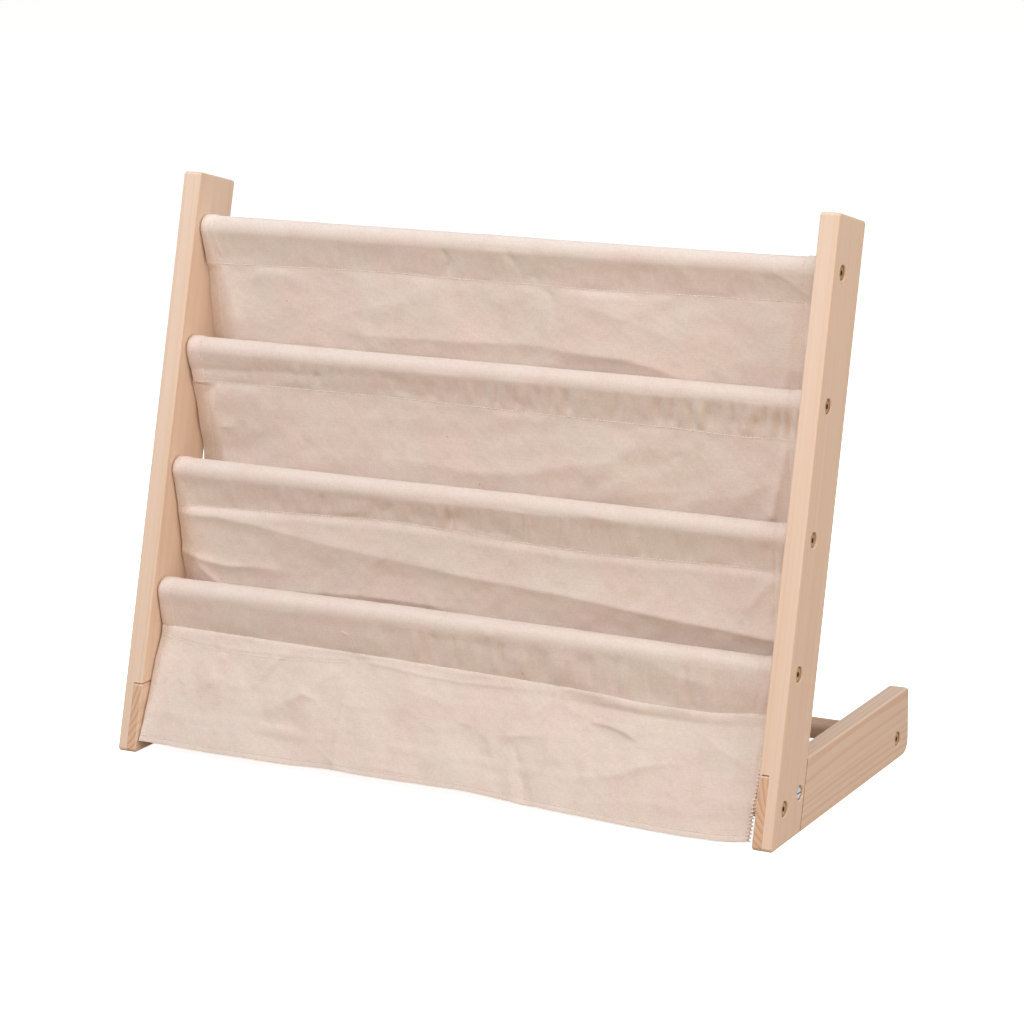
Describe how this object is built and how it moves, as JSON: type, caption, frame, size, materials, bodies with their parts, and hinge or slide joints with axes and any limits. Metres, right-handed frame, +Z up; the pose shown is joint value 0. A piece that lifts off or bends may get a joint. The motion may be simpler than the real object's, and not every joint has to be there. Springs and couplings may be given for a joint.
{
  "type": "sling bookshelf",
  "caption": "Low front-facing bookshelf for small children: two leaning pine sides on feet, round dowels between them and a canvas sling that makes book pockets.",
  "frame": {"origin": "on the floor at the centre of the shelf's bounding box", "axes": "+X along the shelf's width to the right as seen from the front, -Y its front, +Z up"},
  "size_m": [0.6, 0.29, 0.4775],
  "materials": {
    "pine_board": "clear pine boards, sanded, uncoated or clear oiled, edges eased",
    "pine_dowel": "turned pine dowel, sanded",
    "bronze_screw": "antique bronze plated steel, satin",
    "zinc_screw": "bright zinc plated steel",
    "canvas": "unbleached plain weave cotton canvas, sewn, soft creases"
  },
  "bodies": {
    "root": {"upright_left": "pine_board", "foot_left": "pine_board", "upright_right": "pine_board", "foot_right": "pine_board", "dowel_1": "pine_dowel", "dowel_2": "pine_dowel", "dowel_3": "pine_dowel", "dowel_4": "pine_dowel", "dowel_5": "pine_dowel", "rear_rail": "pine_dowel", "screw_dowel_1_left": "bronze_screw", "screw_dowel_1_right": "bronze_screw", "screw_dowel_2_left": "bronze_screw", "screw_dowel_2_right": "bronze_screw", "screw_dowel_3_left": "bronze_screw", "screw_dowel_3_right": "bronze_screw", "screw_dowel_4_left": "bronze_screw", "screw_dowel_4_right": "bronze_screw", "screw_dowel_5_left": "bronze_screw", "screw_dowel_5_right": "bronze_screw", "screw_rear_rail_left": "bronze_screw", "screw_rear_rail_right": "bronze_screw", "screw_lap_left": "zinc_screw", "screw_lap_right": "zinc_screw", "sleeve_1": "canvas", "sleeve_2": "canvas", "sleeve_3": "canvas", "sleeve_4": "canvas", "pocket_1_back": "canvas", "pocket_1_bottom": "canvas", "pocket_1_front": "canvas", "pocket_2_back": "canvas", "pocket_2_bottom": "canvas", "pocket_2_front": "canvas", "pocket_3_back": "canvas", "pocket_3_bottom": "canvas", "pocket_3_front": "canvas", "apron": "canvas"}
  },
  "joints": []
}
